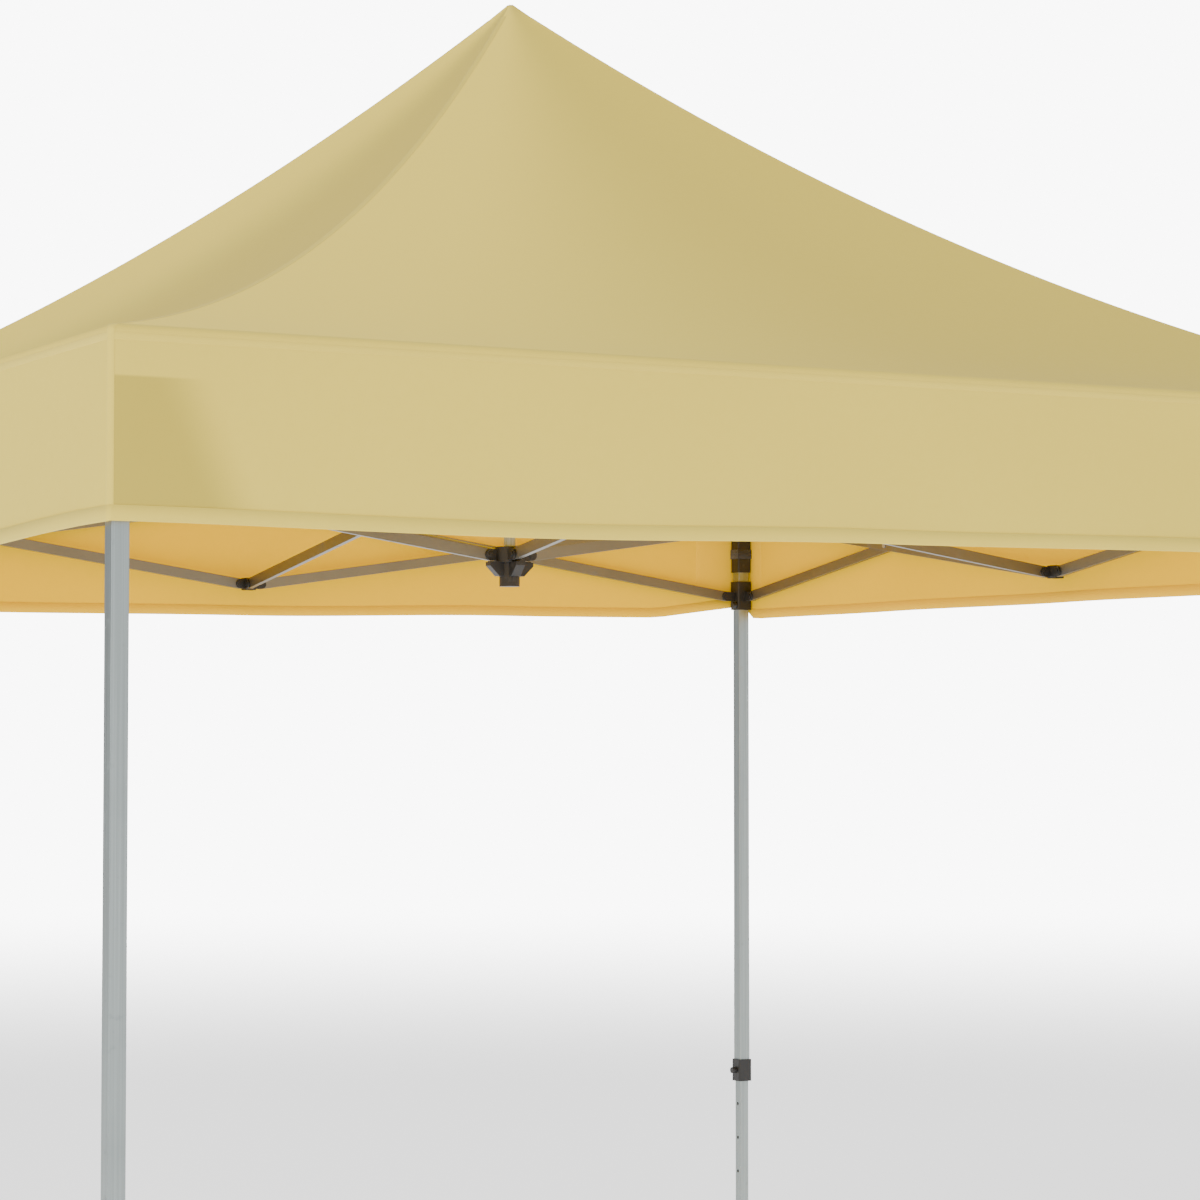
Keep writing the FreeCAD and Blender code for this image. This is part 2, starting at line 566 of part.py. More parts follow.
def make_inner_leg(name, place, rotation):
    """The inner tube with its height holes, and the foot it stands on."""
    tube_foot = "size.plate_thick"
    outside = square(name + "_outside", "size.inner_half", (tube_foot, "size.inner_head"))
    outside = round_uprights(name + "_rounded", outside, size["inner_wall"])
    inside = square(name + "_inside", "(size.inner_half - size.inner_wall)",
                    (f"{tube_foot} - {OVERSHOOT}", f"size.inner_head + {OVERSHOOT}"))
    holes = [
        rod(f"{name}_hole_{step}", Vector(1, 0, 0), "size.hole_radius",
            ("-size.inner_half - 1", "0",
             f"size.leg_foot + size.leg_latch_rise - {step} * size.height_step"), "size.inner_half")
        for step in range(HEIGHT_HOLES)
    ]
    tube = cut(name + "_tube", outside, [inside] + holes)

    slab = square(name + "_slab", "size.plate_half", ("0", "size.plate_thick"))
    slab = round_uprights(name + "_plate", slab, size["plate_corner"])
    socket = square(name + "_socket", "size.socket_half",
                    ("size.plate_thick / 2", "size.plate_thick + size.socket_rise"))
    socket_bore = square(name + "_socket_bore", "(size.inner_half + size.fit)",
                         ("size.plate_thick", f"size.plate_thick + size.socket_rise + {OVERSHOOT}"))
    stake = rod(name + "_stake", UP, "size.stake_radius",
                ("size.stake_reach", "size.stake_reach", f"-{OVERSHOOT}"),
                f"size.plate_thick + 2 * {OVERSHOOT}")
    foot = cut(name + "_foot", fuse(name + "_foot_solid", [slab, socket]), [socket_bore, stake])
    node(name, group(name, [tube, foot]), place, rotation)


def make_latch(name, tip, face, place, rotation):
    """A pin along X with a knob, pulled along -X; tip and face are distances from the leg's centre."""
    x_axis = Vector(1, 0, 0)
    knob_end = f"({face} + size.knob_gap + size.knob_length)"
    pin = rod(name + "_pin", x_axis, "size.latch_radius", (f"-{knob_end} + 1", "0", "0"),
              f"{knob_end} - 1 - {tip}")
    knob = rod(name + "_knob", x_axis, "size.knob_radius", (f"-{knob_end}", "0", "0"),
               "size.knob_length")
    node(name, fuse(name, [pin, knob]), place, rotation)


def make_legs():
    """Outer leg, slider, inner leg and two latches at each corner."""
    for index, corner in enumerate(CORNERS):
        rotation = FreeCAD.Rotation(UP, 90 * index)
        place = rotation.multVec(Vector(size["leg_centre"], size["leg_centre"], 0))
        make_outer_leg(f"leg_outer_{corner}", place, rotation)
        make_slider(f"slider_{corner}", place, rotation)
        make_inner_leg(f"leg_inner_{corner}", place, rotation)
        shift = Vector(0, -size["slider_latch_side"], size["pivot_low"] - size["slider_latch_drop"])
        make_latch(f"slider_latch_{corner}", "(size.leg_half + size.latch_room)", "size.slider_half",
                   place + rotation.multVec(shift), rotation)
        shift = Vector(0, 0, size["leg_foot"] + size["leg_latch_rise"])
        make_latch(f"leg_latch_{corner}", "(size.inner_half + size.latch_room)", "size.collar_half",
                   place + rotation.multVec(shift), rotation)


# ---------------------------------------------------------------- fabric top

def roof_edge(height):
    """The roof's line from the eave up to the peak, as a parabola in the XZ plane."""
    edge = Part.BezierCurve()
    edge.setPoles([
        Vector(size["eave_half"], 0, height),
        Vector(size["eave_half"] / 2, 0, height + size["roof_rise"] * ROOF_SLOPE / 2),
        Vector(0, 0, height + size["roof_rise"]),
    ])
    return edge.toShape()


def cloth_side():
    """One roof panel and its valance, facing +X and mitred to its neighbours."""
    half, cloth = size["eave_half"], size["cloth"]
    top = roof_edge(size["eave_height"])
    bottom = roof_edge(size["eave_height"] - cloth)
    top_ends = [vertex.Point for vertex in top.Vertexes]
    bottom_ends = [vertex.Point for vertex in bottom.Vertexes]
    sides = [Part.makeLine(low, high) for low, high in zip(bottom_ends, top_ends)]
    outline = Part.Wire(Part.__sortEdges__([top, sides[1], bottom, sides[0]]))
    panel = Part.Face(outline).extrude(Vector(0, 2 * half, 0))
    panel.translate(Vector(0, -half, 0))
    drop = size["eave_height"] - cloth - size["valance_foot"]
    valance = Part.makeBox(cloth, 2 * half, drop, Vector(half - cloth, -half, size["valance_foot"]))
    apex = Vector(size["mitre_gap"], 0, 0)
    reach = half + OVERSHOOT
    corners = [apex, Vector(reach, size["mitre_gap"] - reach, 0), Vector(reach, reach - size["mitre_gap"], 0)]
    mitre = Part.Face(Part.makePolygon(corners + corners[:1]))
    mitre = mitre.extrude(UP * 2 * (size["eave_height"] + size["roof_rise"]))
    pieces = [panel.common(mitre).Solids[0], valance.common(mitre).Solids[0]]
    return Part.makeCompound(pieces)


def make_canopy():
    """The four sides of the fabric top."""
    for index, side in enumerate(SIDES):
        item = doc.addObject("Part::Feature", f"canopy_{side}")
        item.Shape = cloth_side()
        node(f"canopy_{side}", item, Vector(), FreeCAD.Rotation(UP, 90 * index))


bars = []
make_hubs()
make_side_connectors()
make_peak_pole()
make_bars()
make_legs()
make_canopy()
doc.recompute()

# ---------------------------------------------------------------- checks and export

for item in doc.Objects:
    if "Invalid" in item.State or "Error" in item.State:
        raise RuntimeError(f"{item.Label} did not compute: {item.State}")
for item in nodes:
    if item.Shape.isNull() or not item.Shape.isValid():
        raise RuntimeError(f"{item.Label} has no valid shape")
for body, pad in bars:
    hollow_share = 1 - body.Shape.Volume / pad.Shape.Volume
    if hollow_share < VOLUME_TOLERANCE:
        raise RuntimeError(f"{body.Label} was not hollowed")

os.makedirs("parts", exist_ok=True)
for item in nodes:
    item.Shape.exportStep(f"parts/{item.Label}.step")
print(f"{len(nodes)} nodes, bar {math.hypot(bar_span, bar_rise):.2f} mm, slope {bar_slope:.3f} degrees")
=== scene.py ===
import json
import math

import bpy
from bpy.props import FloatProperty, FloatVectorProperty, PointerProperty
from mathutils import Matrix, Vector, noise

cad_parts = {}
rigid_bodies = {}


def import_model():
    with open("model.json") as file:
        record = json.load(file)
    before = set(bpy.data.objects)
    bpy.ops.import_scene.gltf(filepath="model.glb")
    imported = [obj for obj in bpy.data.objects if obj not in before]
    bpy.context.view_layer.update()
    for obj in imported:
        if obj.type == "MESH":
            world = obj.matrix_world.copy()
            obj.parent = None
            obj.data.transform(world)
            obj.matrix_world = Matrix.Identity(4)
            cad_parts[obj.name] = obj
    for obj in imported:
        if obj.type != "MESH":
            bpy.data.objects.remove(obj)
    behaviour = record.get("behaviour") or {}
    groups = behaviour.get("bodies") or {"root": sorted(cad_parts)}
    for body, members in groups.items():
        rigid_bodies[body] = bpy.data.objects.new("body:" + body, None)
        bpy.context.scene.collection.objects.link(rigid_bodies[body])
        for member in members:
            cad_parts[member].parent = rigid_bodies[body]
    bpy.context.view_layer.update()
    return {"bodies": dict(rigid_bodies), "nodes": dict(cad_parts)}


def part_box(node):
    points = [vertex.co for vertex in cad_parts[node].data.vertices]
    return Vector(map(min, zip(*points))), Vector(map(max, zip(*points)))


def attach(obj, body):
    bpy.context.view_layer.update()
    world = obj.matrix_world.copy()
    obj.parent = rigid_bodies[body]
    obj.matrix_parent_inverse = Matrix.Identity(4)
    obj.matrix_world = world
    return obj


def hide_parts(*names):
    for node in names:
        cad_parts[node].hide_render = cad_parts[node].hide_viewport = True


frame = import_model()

# Pop up canopy: the sewn cover, its seams, hem, patches, tabs and ties, and the frame's finishes.
# Lengths are in metres. +X is the right side, +Y the back side and +Z up, as in the frame.

bl_info = {
    "name": "Pop Up Canopy",
    "version": (1, 0, 0),
    "blender": (4, 5, 0),
    "location": "3D View > Sidebar > Canopy",
    "description": "Sews the cover of a pop up canopy and finishes its folding frame",
    "category": "Object",
}

SIDES = ("right", "back", "left", "front")
CORNERS = ("back_right", "back_left", "front_left", "front_right")

# The cloth's main lines, taken from the frame's own plain cloth solids.
CLOTH_LOW, CLOTH_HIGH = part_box("canopy_right")
HALF = CLOTH_HIGH.x
PEAK = CLOTH_HIGH.z
HEM = CLOTH_LOW.z
EAVE = max(v.co.z for v in frame["nodes"]["canopy_right"].data.vertices if v.co.x > HALF - 1e-4)


# ---------------------------------------------------------------- settings

class CoverSettings(bpy.types.PropertyGroup):
    """Sizes and colours of the sewn cover."""

    thickness: FloatProperty(name="Cloth", description="Thickness of the coated cloth",
                             default=0.0012, unit="LENGTH")
    panel_sag: FloatProperty(name="Panel sag", description="How far a roof panel hangs in between its hips",
                             default=0.050, unit="LENGTH")
    flutter: FloatProperty(name="Flutter", description="How far the valance waves outward at its hem",
                           default=0.004, unit="LENGTH")
    hem_width: FloatProperty(name="Hem", description="Width of the turned hem", default=0.025, unit="LENGTH")
    seam_width: FloatProperty(name="Seam", description="Width of a felled seam", default=0.016, unit="LENGTH")
    patch_width: FloatProperty(name="Patch", description="Corner patch, along each side",
                               default=0.15, unit="LENGTH")
    webbing: FloatProperty(name="Webbing", description="Width of the ties and tabs", default=0.025,
                           unit="LENGTH")
    outside: FloatVectorProperty(name="Outside", description="Colour of the cloth's outer face",
                                 subtype="COLOR", default=(0.78, 0.60, 0.082))
    inside: FloatVectorProperty(name="Inside", description="Colour of the cloth's inner face",
                                subtype="COLOR", default=(0.74, 0.46, 0.0))
    webbing_colour: FloatVectorProperty(name="Webbing colour", description="Colour of the ties and tabs",
                                        subtype="COLOR", default=(0.02, 0.02, 0.022))
    # The glow is painted light: emission on the inner face and the sewn pieces inside it, for daylight
    # through the cloth.
    glow: FloatProperty(name="Glow", description="Daylight that comes through the cloth", default=0.35,
                        min=0, subtype="FACTOR")


class FrameSettings(bpy.types.PropertyGroup):
    """Colours and edges of the frame."""

    aluminium: FloatVectorProperty(name="Legs", description="Satin anodised tube of the legs",
                                   subtype="COLOR", default=(0.335, 0.375, 0.37))
    # The bars' colour is darker than the legs', partly painted shade for their place under the cover.
    bars: FloatVectorProperty(name="Bars", description="Mill finish tube of the folding bars",
                              subtype="COLOR", default=(0.21, 0.205, 0.19))
    plastic: FloatVectorProperty(name="Plastic", description="Moulded nylon of hubs, sliders and brackets",
                                 subtype="COLOR", default=(0.014, 0.014, 0.015))
    steel: FloatVectorProperty(name="Steel", description="Zinc plated pins and feet", subtype="COLOR",
                               default=(0.46, 0.47, 0.49))
    edge: FloatProperty(name="Edge", description="Rounding of moulded and cut edges", default=0.0007,
                        unit="LENGTH")


class StageSettings(bpy.types.PropertyGroup):
    """Floor, light and camera."""

    floor: FloatVectorProperty(name="Floor", description="Colour of the floor", subtype="COLOR",
                               default=(0.86, 0.86, 0.86))
    floor_radius: FloatProperty(name="Floor radius", description="Reach of the floor", default=60,
                                unit="LENGTH")
    sky: FloatProperty(name="Sky", description="Strength of the even light all round", default=0.85, min=0)
    backdrop: FloatProperty(name="Backdrop", description="Brightness of the empty background",
                            default=9.0, min=0)
    floor_light: FloatProperty(name="Floor light", description="Light that the bright floor gives back",
                               default=1.2, min=0)
    sky_slope: FloatProperty(name="Sky slope", description="How much brighter the sky is on the lit side",
                             default=0.55, min=0, max=1)
    key: FloatProperty(name="Key light", description="Power of the large soft light", default=700,
                       unit="POWER")
    camera_place: FloatVectorProperty(name="Camera", description="Place of the camera", subtype="XYZ",
                                      unit="LENGTH", default=(-3.439, -6.728, 1.573))
    camera_turn: FloatProperty(name="Turn", description="Camera's bearing from +Y towards +X",
                               subtype="ANGLE", default=0.4983)
    camera_tilt: FloatProperty(name="Tilt", description="Camera's tilt above level", subtype="ANGLE",
                               default=0.045)
    lens: FloatProperty(name="Lens", description="Focal length in millimetres", default=105.37,
                        unit="CAMERA")


# ---------------------------------------------------------------- materials

class Signal:
    """An output in a material, so that shader maths reads as an expression."""

    def __init__(self, finish, socket):
        self.finish = finish
        self.socket = socket

    def combine(self, operation, first, second):
        return self.finish.node("ShaderNodeMath", {"operation": operation}, {0: first, 1: second})

    def __add__(self, other):
        return self.combine("ADD", self, other)

    __radd__ = __add__

    def __sub__(self, other):
        return self.combine("SUBTRACT", self, other)

    def __rsub__(self, other):
        return self.combine("SUBTRACT", other, self)

    def __mul__(self, other):
        return self.combine("MULTIPLY", self, other)

    __rmul__ = __mul__

    def __truediv__(self, other):
        return self.combine("DIVIDE", self, other)

    def __mod__(self, other):
        return self.combine("FLOORED_MODULO", self, other)


class Finish:
    """A procedural material round one Principled shader, whose constants are given by name."""

    def __init__(self, name, **constants):
        self.material = bpy.data.materials.new(name)
        self.material.use_nodes = True
        self.tree = self.material.node_tree
        self.shader = self.tree.nodes["Principled BSDF"]
        for words, value in constants.items():
            socket = words.replace("_", " ").title().replace("Ior", "IOR")
            self.shader.inputs[socket].default_value = value

    def node(self, kind, settings=None, inputs=None, output=0):
        """Add a node. Its settings come first, then the values or links of its sockets."""
        item = self.tree.nodes.new(kind)
        for name, value in (settings or {}).items():
            setattr(item, name, value)
        for key, value in (inputs or {}).items():
            if isinstance(value, Signal):
                self.tree.links.new(value.socket, item.inputs[key])
            else:
                item.inputs[key].default_value = value
        return Signal(self, item.outputs[output])

    def feed(self, socket, signal):
        """Link a signal to the shader."""
        self.tree.links.new(signal.socket, self.shader.inputs[socket])

    def part(self, vector, axis):
        """One coordinate of a vector signal."""
        return self.node("ShaderNodeSeparateXYZ", None, {0: vector}, axis)

    def sine(self, signal):
        """The sine of a signal in radians."""
        return self.node("ShaderNodeMath", {"operation": "SINE"}, {0: signal})

    def size(self, signal):
        """A signal without its sign."""
        return self.node("ShaderNodeMath", {"operation": "ABSOLUTE"}, {0: signal})

    def fade(self, signal, low, high):
        """A smooth step from 0 at low to 1 at high."""
        return self.node("ShaderNodeMapRange", {"interpolation_type": "SMOOTHSTEP"},
                         {"Value": signal, "From Min": low, "From Max": high})

    def mix(self, factor, first, second):
        """A colour between two colours."""
        return self.node("ShaderNodeMix", {"data_type": "RGBA"},
                         {"Factor": factor, 6: first, 7: second}, 2)

    def stretched(self, vector, scale):
        """A vector signal with each coordinate scaled on its own."""
        return self.node("ShaderNodeVectorMath", {"operation": "MULTIPLY"}, {0: vector, 1: scale})

    def cloud(self, vector, scale, detail=2.0):
        """Even noise from 0 to 1."""
        return self.node("ShaderNodeTexNoise", None, {"Vector": vector, "Scale": scale, "Detail": detail})

    def bump(self, height, strength, distance, edge=0.0):
        """Relief of the given height and depth, in metres, over edges rounded by a radius."""
        inputs = {"Height": height, "Strength": strength, "Distance": distance}
        if edge:
            inputs["Normal"] = self.node("ShaderNodeBevel", {"samples": 6}, {"Radius": edge})
        self.feed("Normal", self.node("ShaderNodeBump", None, inputs))


def shade(colour, factor=1.0):
    """A colour made lighter or darker, with alpha."""
    return (*(min(channel * factor, 1.0) for channel in colour), 1.0)


# Spacing of the cloth's threads, and of the webbing's ribs along and across.
WEAVE_PITCH = 0.0011
RIB_PITCH = 0.0016
RIB_CROSS_PITCH = 0.0024
# Spacing of the stitches, the part of it that shows thread, and where a thread fades to each side.
STITCH_PITCH = 0.0042
STITCH_SHARE = 0.72
STITCH_HALF = (0.0003, 0.0007)
# The painted shadow of a corner patch: its slanted inner edge, how soft that edge is, and its top edge.
PATCH_SHADOW_SHARE = 0.62
PATCH_SHADOW_SLANT = 0.42
PATCH_SHADOW_SOFT = (-0.055, 0.06)
PATCH_SHADOW_TOP = (0.078, 0.084)
# Painted light and shade on a roof panel: its lighter and darker tone, how much of each is mixed in, and
# where they change over.
PAINTED_PANEL_LIGHT = 1.28
PAINTED_PANEL_SHADE = 0.88
PAINTED_LIGHT_SHARE = 0.9
PAINTED_SHADE_SHARE = 0.55
PAINTED_LIGHT_TURN = (-0.75, 0.45)


def woven(finish, colour):
    """Roughness of a coated plain weave. Returns its place in metres, its colour and its height."""
    metres = finish.node("ShaderNodeUVMap", {"uv_map": "metres"})
    warp = finish.sine(finish.part(metres, 0) * (math.tau / WEAVE_PITCH))
    weft = finish.sine(finish.part(metres, 1) * (math.tau / WEAVE_PITCH))
    weave = warp * weft * 0.5 + 0.5
    broad = finish.cloud(metres, 1.3)
    close = finish.cloud(metres, 55.0, 4.0)
    base = finish.mix(finish.fade(broad, 0.3, 0.7), shade(colour, 0.965), shade(colour, 1.02))
    base = finish.mix(close * 0.25, base, shade(colour, 0.86))
    base = finish.mix(weave * 0.12, base, shade(colour, 1.15))
    finish.feed("Roughness", 0.62 + close * 0.16 + weave * 0.06)
    return metres, base, weave


def cloth_outside(settings):
    """Coated polyester, with a painted shadow where a patch behind it would stop the light.

    Each roof panel has painted light at one hip that turns to painted shade at the other.
    """
    finish = Finish("cloth_outside", sheen_weight=0.06, sheen_roughness=0.5, specular_ior_level=0.2)
    metres, base, weave = woven(finish, settings.outside)
    from_corner = finish.part(metres, 0) + HALF
    below_eave = finish.part(metres, 1) - profile()[-1].run + (EAVE - HEM)
    # The mask of the corner patch's painted shadow.
    reach = settings.patch_width * PATCH_SHADOW_SHARE + below_eave * PATCH_SHADOW_SLANT
    patch = (1 - finish.fade(from_corner - reach, *PATCH_SHADOW_SOFT)) * finish.fade(below_eave, *PATCH_SHADOW_TOP)
    # Painted light and shade across each roof panel, lighter towards one hip and darker towards the other.
    panel = finish.node("ShaderNodeUVMap", {"uv_map": "panel"})
    on_roof = finish.fade(finish.part(panel, 1), 0.0, 0.015)
    painted_shade_end = finish.fade(finish.part(panel, 0), *PAINTED_LIGHT_TURN)
    base = finish.mix(on_roof * (1 - painted_shade_end) * PAINTED_LIGHT_SHARE, base, shade(settings.outside, PAINTED_PANEL_LIGHT))
    base = finish.mix(on_roof * painted_shade_end * PAINTED_SHADE_SHARE, base, shade(settings.outside, PAINTED_PANEL_SHADE))
    # Painted shadow of the corner patch: the cloth's colour is made darker there.
    base = finish.mix(patch * 0.95, base, shade(settings.outside, 0.67))
    finish.feed("Base Color", base)
    finish.bump(weave, 0.35, 0.00012)
    return finish.material


def cloth_inside(settings):
    """The uncoated face, with a painted glow for the daylight that comes through."""
    finish = Finish("cloth_inside", specular_ior_level=0.05, emission_strength=settings.glow)
    _, base, weave = woven(finish, settings.inside)
    finish.feed("Base Color", base)
    finish.feed("Emission Color", base)
    finish.bump(weave, 0.4, 0.00014)
    return finish.material


def stitched(name, colour, rows, glow=0.0):
    """A sewn strip of the cloth, with rows of lock stitch at the given distances from its middle, and a
    painted glow where glow is given.
    """
    finish = Finish(name, sheen_weight=0.12, specular_ior_level=0.25, emission_strength=glow)
    metres, base, weave = woven(finish, colour)
    along = finish.part(metres, 0) % STITCH_PITCH
    dash = 1 - finish.fade(along / STITCH_PITCH, STITCH_SHARE - 0.08, STITCH_SHARE)
    thread = 0.0
    for row in rows:
        beside = finish.size(finish.part(metres, 1) - row)
        thread = thread + (1 - finish.fade(beside, *STITCH_HALF)) * dash
    base = finish.mix(thread * 0.5, base, shade(colour, 1.05))
    finish.feed("Base Color", base)
    if glow:
        finish.feed("Emission Color", base)
    finish.bump(weave * 0.15 + thread, 0.5, 0.0003)
    return finish.material


def webbing(settings, name):
    """Ribbed polyester webbing."""
    finish = Finish(name, sheen_weight=0.3, specular_ior_level=0.3)
    metres = finish.node("ShaderNodeUVMap", {"uv_map": "metres"})
    ribs = finish.sine(finish.part(metres, 0) * (math.tau / RIB_PITCH))
    cross = finish.sine(finish.part(metres, 1) * (math.tau / RIB_CROSS_PITCH))
    weave = ribs * cross * 0.5 + 0.5
    finish.feed("Base Color", finish.mix(weave, shade(settings.webbing_colour, 0.6),
                                        shade(settings.webbing_colour, 1.8)))
    finish.feed("Roughness", 0.7 + weave * 0.15)
    finish.bump(weave, 0.8, 0.0004)
    return finish.material


# Rounding of a drawn tube's edges, how long and fine its drawing lines are, and soil on a foot.
TUBE_EDGE = 0.0012
LINE_LENGTH_SCALE = 2.0
LINE_WIDTH_SCALE = 420.0
SOIL_HEIGHT = 0.035
SOIL_COLOUR = (0.16, 0.13, 0.10, 1.0)


def aluminium(colour, name, along, drawn=1.0):
    """Satin anodised tube with fine scuffs, and drawing lines of a given depth along one axis."""
    finish = Finish(name, metallic=1.0)
    place = finish.node("ShaderNodeTexCoord", output=3)
    scales = tuple(LINE_LENGTH_SCALE if axis == along else LINE_WIDTH_SCALE for axis in "xyz")
    lines = finish.cloud(finish.stretched(place, scales), 1.0, 3.0)
    stain = finish.cloud(place, 7.0, 4.0)
    scuff = finish.fade(finish.cloud(place, 38.0, 6.0), 0.60, 0.72)
    base = finish.mix(finish.fade(lines, 0.3, 0.7), shade(colour, 1 - 0.13 * drawn),
                      shade(colour, 1 + 0.1 * drawn))
    base = finish.mix(finish.fade(stain, 0.5, 0.8) * 0.35, base, shade(colour, 0.7))
    finish.feed("Base Color", base)
    finish.feed("Roughness", 0.40 + lines * (0.14 * drawn) + scuff * 0.16)
    finish.bump(lines, 0.25 * drawn, 0.00008, TUBE_EDGE)
    return finish.material


def plastic(settings, name="moulded_plastic", factor=1.0):
    """Black moulded nylon with a fine grain and a few pale rubs."""
    finish = Finish(name, specular_ior_level=0.45)
    place = finish.node("ShaderNodeTexCoord", output=3)
    grain = finish.cloud(place, 1100.0, 2.0)
    rub = finish.fade(finish.cloud(place, 60.0, 5.0), 0.58, 0.74)
    colour = shade(settings.plastic, factor)
    finish.feed("Base Color", finish.mix(rub * 0.5, colour, shade(settings.plastic, 3.6 * factor)))
    finish.feed("Roughness", 0.40 + grain * 0.14 + rub * 0.12)
    finish.bump(grain, 0.35, 0.00012, settings.edge)
    return finish.material


def steel(settings, name, soil):
    """Zinc plated steel, with dust near the ground where it has soil."""
    finish = Finish(name, metallic=1.0)
    place = finish.node("ShaderNodeTexCoord", output=3)
    bloom = finish.cloud(place, 90.0, 4.0)
    base = finish.mix(bloom, shade(settings.steel, 0.75), shade(settings.steel, 1.2))
    dust = (1 - finish.fade(finish.part(place, 2), 0.0, SOIL_HEIGHT)) * bloom * soil
    finish.feed("Base Color", finish.mix(dust, base, SOIL_COLOUR))
    finish.feed("Roughness", 0.30 + bloom * 0.22 + dust * 0.4)
    finish.bump(bloom, 0.2, 0.0001, settings.edge)
    return finish.material


# ---------------------------------------------------------------- the cover's shape

# The curved share of the roof's rise, the small flat at the peak, and the roundings in metres.
ROOF_CURVE = 0.5
TIP = 0.004
EAVE_ROUND = 0.010
CORNER_ROUND = 0.008
# How finely the cloth is divided.
ROOF_RINGS = 44
VALANCE_ROWS = 12
COLUMNS = 72
CORNER_STEPS = 3

# How far the hem rises above its straight line, at five places from one end of a side to the other.
HEM_RISE = {
    "right": (0.004, -0.012, -0.006, 0.000, 0.004),
    "back": (0.006, 0.000, -0.013, -0.018, -0.006),
    "left": (0.000, -0.006, -0.011, -0.009, 0.004),
    "front": (0.005, -0.001, 0.010, 0.015, 0.006),
}
# A valance corner that is tucked up at its leg, and how quickly that fades along the hem.
TUCKED_CORNER = "back_right"
TUCK = 0.034
TUCK_REACH = {"back": 0.27, "right": 0.05}
# A hip that hangs slacker than the others.
SLACK_HIP = "front_left"
HIP_SLACK = 0.042
# Low, uneven waves in a tight roof panel.
ROOF_WAVE = 0.004


class Station:
    """One place on the way from the peak to the hem."""

    def __init__(self, out, height, normal, run, roof, drop):
        self.out = out
        self.height = height
        self.normal = normal
        self.run = run
        self.roof = roof
        self.drop = drop


def roof_height(out):
    """Height of the roof's outer face at a distance from the middle."""
    share = 1 - out / HALF
    return EAVE + (PEAK - EAVE) * ((1 - ROOF_CURVE) * share + ROOF_CURVE * share * share)


def profile():
    """The stations from the peak over the rounded eave to the hem."""
    points = []
    reach = HALF - EAVE_ROUND
    for ring in range(ROOF_RINGS + 1):
        out = TIP + (reach - TIP) * ring / ROOF_RINGS
        points.append((out, roof_height(out)))
    start, middle, end = (Vector(point) for point in (points[-1], (HALF, EAVE), (HALF, EAVE - EAVE_ROUND)))
    for step in (0.25, 0.5, 0.75):
        bend = start * (1 - step) ** 2 + middle * 2 * step * (1 - step) + end * step ** 2
        points.append(tuple(bend))
    for row in range(VALANCE_ROWS + 1):
        points.append((HALF, end.y + (HEM - end.y) * row / VALANCE_ROWS))

    stations, run = [], 0.0
    for index, (out, height) in enumerate(points):
        before, after = points[max(index - 1, 0)], points[min(index + 1, len(points) - 1)]
        along = Vector((after[0] - before[0], after[1] - before[1])).normalized()
        if index:
            run += math.dist(points[index - 1], (out, height))
        roof = max(1 - out / reach, 0.0)
        drop = min(max((EAVE - height) / (EAVE - HEM), 0.0), 1.0) if out > reach else 0.0
        stations.append(Station(out, height, Vector((-along.y, along.x)), run, roof, drop))
    return stations


def nearest_station(stations, run):
    """The station at a distance from the peak."""
    return min(stations, key=lambda station: abs(station.run - run))


def corner_round(station):
    """Radius of the cover's corner in plan, smaller near the peak."""
    return min(CORNER_ROUND, 0.4 * station.out)


def ring_reach(station):
    """Distance along the cloth from a side's middle to its corner."""
    fillet = corner_round(station)
    return station.out - fillet + fillet * math.pi / 4


def eased(values, share):
    """A smooth line through evenly spaced values, for a share from -1 to 1."""
    place = (share + 1) / 2 * (len(values) - 1)
    first = min(max(int(place), 0), len(values) - 2)
    step = min(max(place - first, 0.0), 1.0)
    step = step * step * (3 - 2 * step)
    return values[first] * (1 - step) + values[first + 1] * step


def hem_rise(side, share):
    """How far the hem lies above its straight line."""
    rise = eased(HEM_RISE[SIDES[side]], share)
    corner = CORNERS.index(TUCKED_CORNER)
    for owner, end in ((corner, 1), ((corner + 1) % 4, -1)):
        if side == owner:
            rise += TUCK * max(1 - (1 - share * end) * HALF / TUCK_REACH[SIDES[side]], 0.0)
    return rise


def hip_drop(side, share, station):
    """How far the slack hip and the cloth beside it hang below the others."""
    corner = CORNERS.index(SLACK_HIP)
    toward = {corner: share, (corner + 1) % 4: -share}.get(side, 0.0)
    return HIP_SLACK * 4 * station.roof * (1 - station.roof) * max(toward, 0.0) ** 2


def relief(settings, side, share, station):
    """How far the cloth stands off its straight line, along its normal."""
    inner = 1 - share * share
    if station.drop <= 0:
        hollow = settings.panel_sag * inner * 4 * station.roof * (1 - station.roof)
        spot = Vector((share * 2.2 * station.out, station.run * 1.7, side * 7.3))
        return ROOF_WAVE * noise.noise(spot) * inner * min(station.roof * 8, 1) - hollow
    wave = math.sin(5.3 * share + 1.7 * side) + 0.6 * math.sin(11.0 * share + 2.9 * side + 0.5)
    crease = 0.25 * math.sin(23.0 * share + side)
    lean = station.drop ** 1.4
    return settings.flutter * lean * min(inner * 6, 1) * (1 + 0.5 * (wave + crease))


def cloth_point(settings, side, along, station, lift=0.0):
    """A point of the cover: along is the distance from the side's middle, lift is off its outer face."""
    fillet = corner_round(station)
    straight = station.out - fillet
    turn = max(abs(along) - straight, 0.0) / fillet
    hand = math.copysign(1.0, along)
    share = along / ring_reach(station)
    level = Vector((math.cos(turn), hand * math.sin(turn), 0.0))
    spot = Vector((straight, max(-straight, min(straight, along)), 0.0)) + level * fillet
    normal = level * station.normal.x + Vector((0.0, 0.0, station.normal.y))
    spot.z = station.height + station.drop * hem_rise(side, share) - hip_drop(side, share, station)
    spot += normal * (lift + relief(settings, side, share, station))
    return Matrix.Rotation(side * math.pi / 2, 3, "Z") @ spot


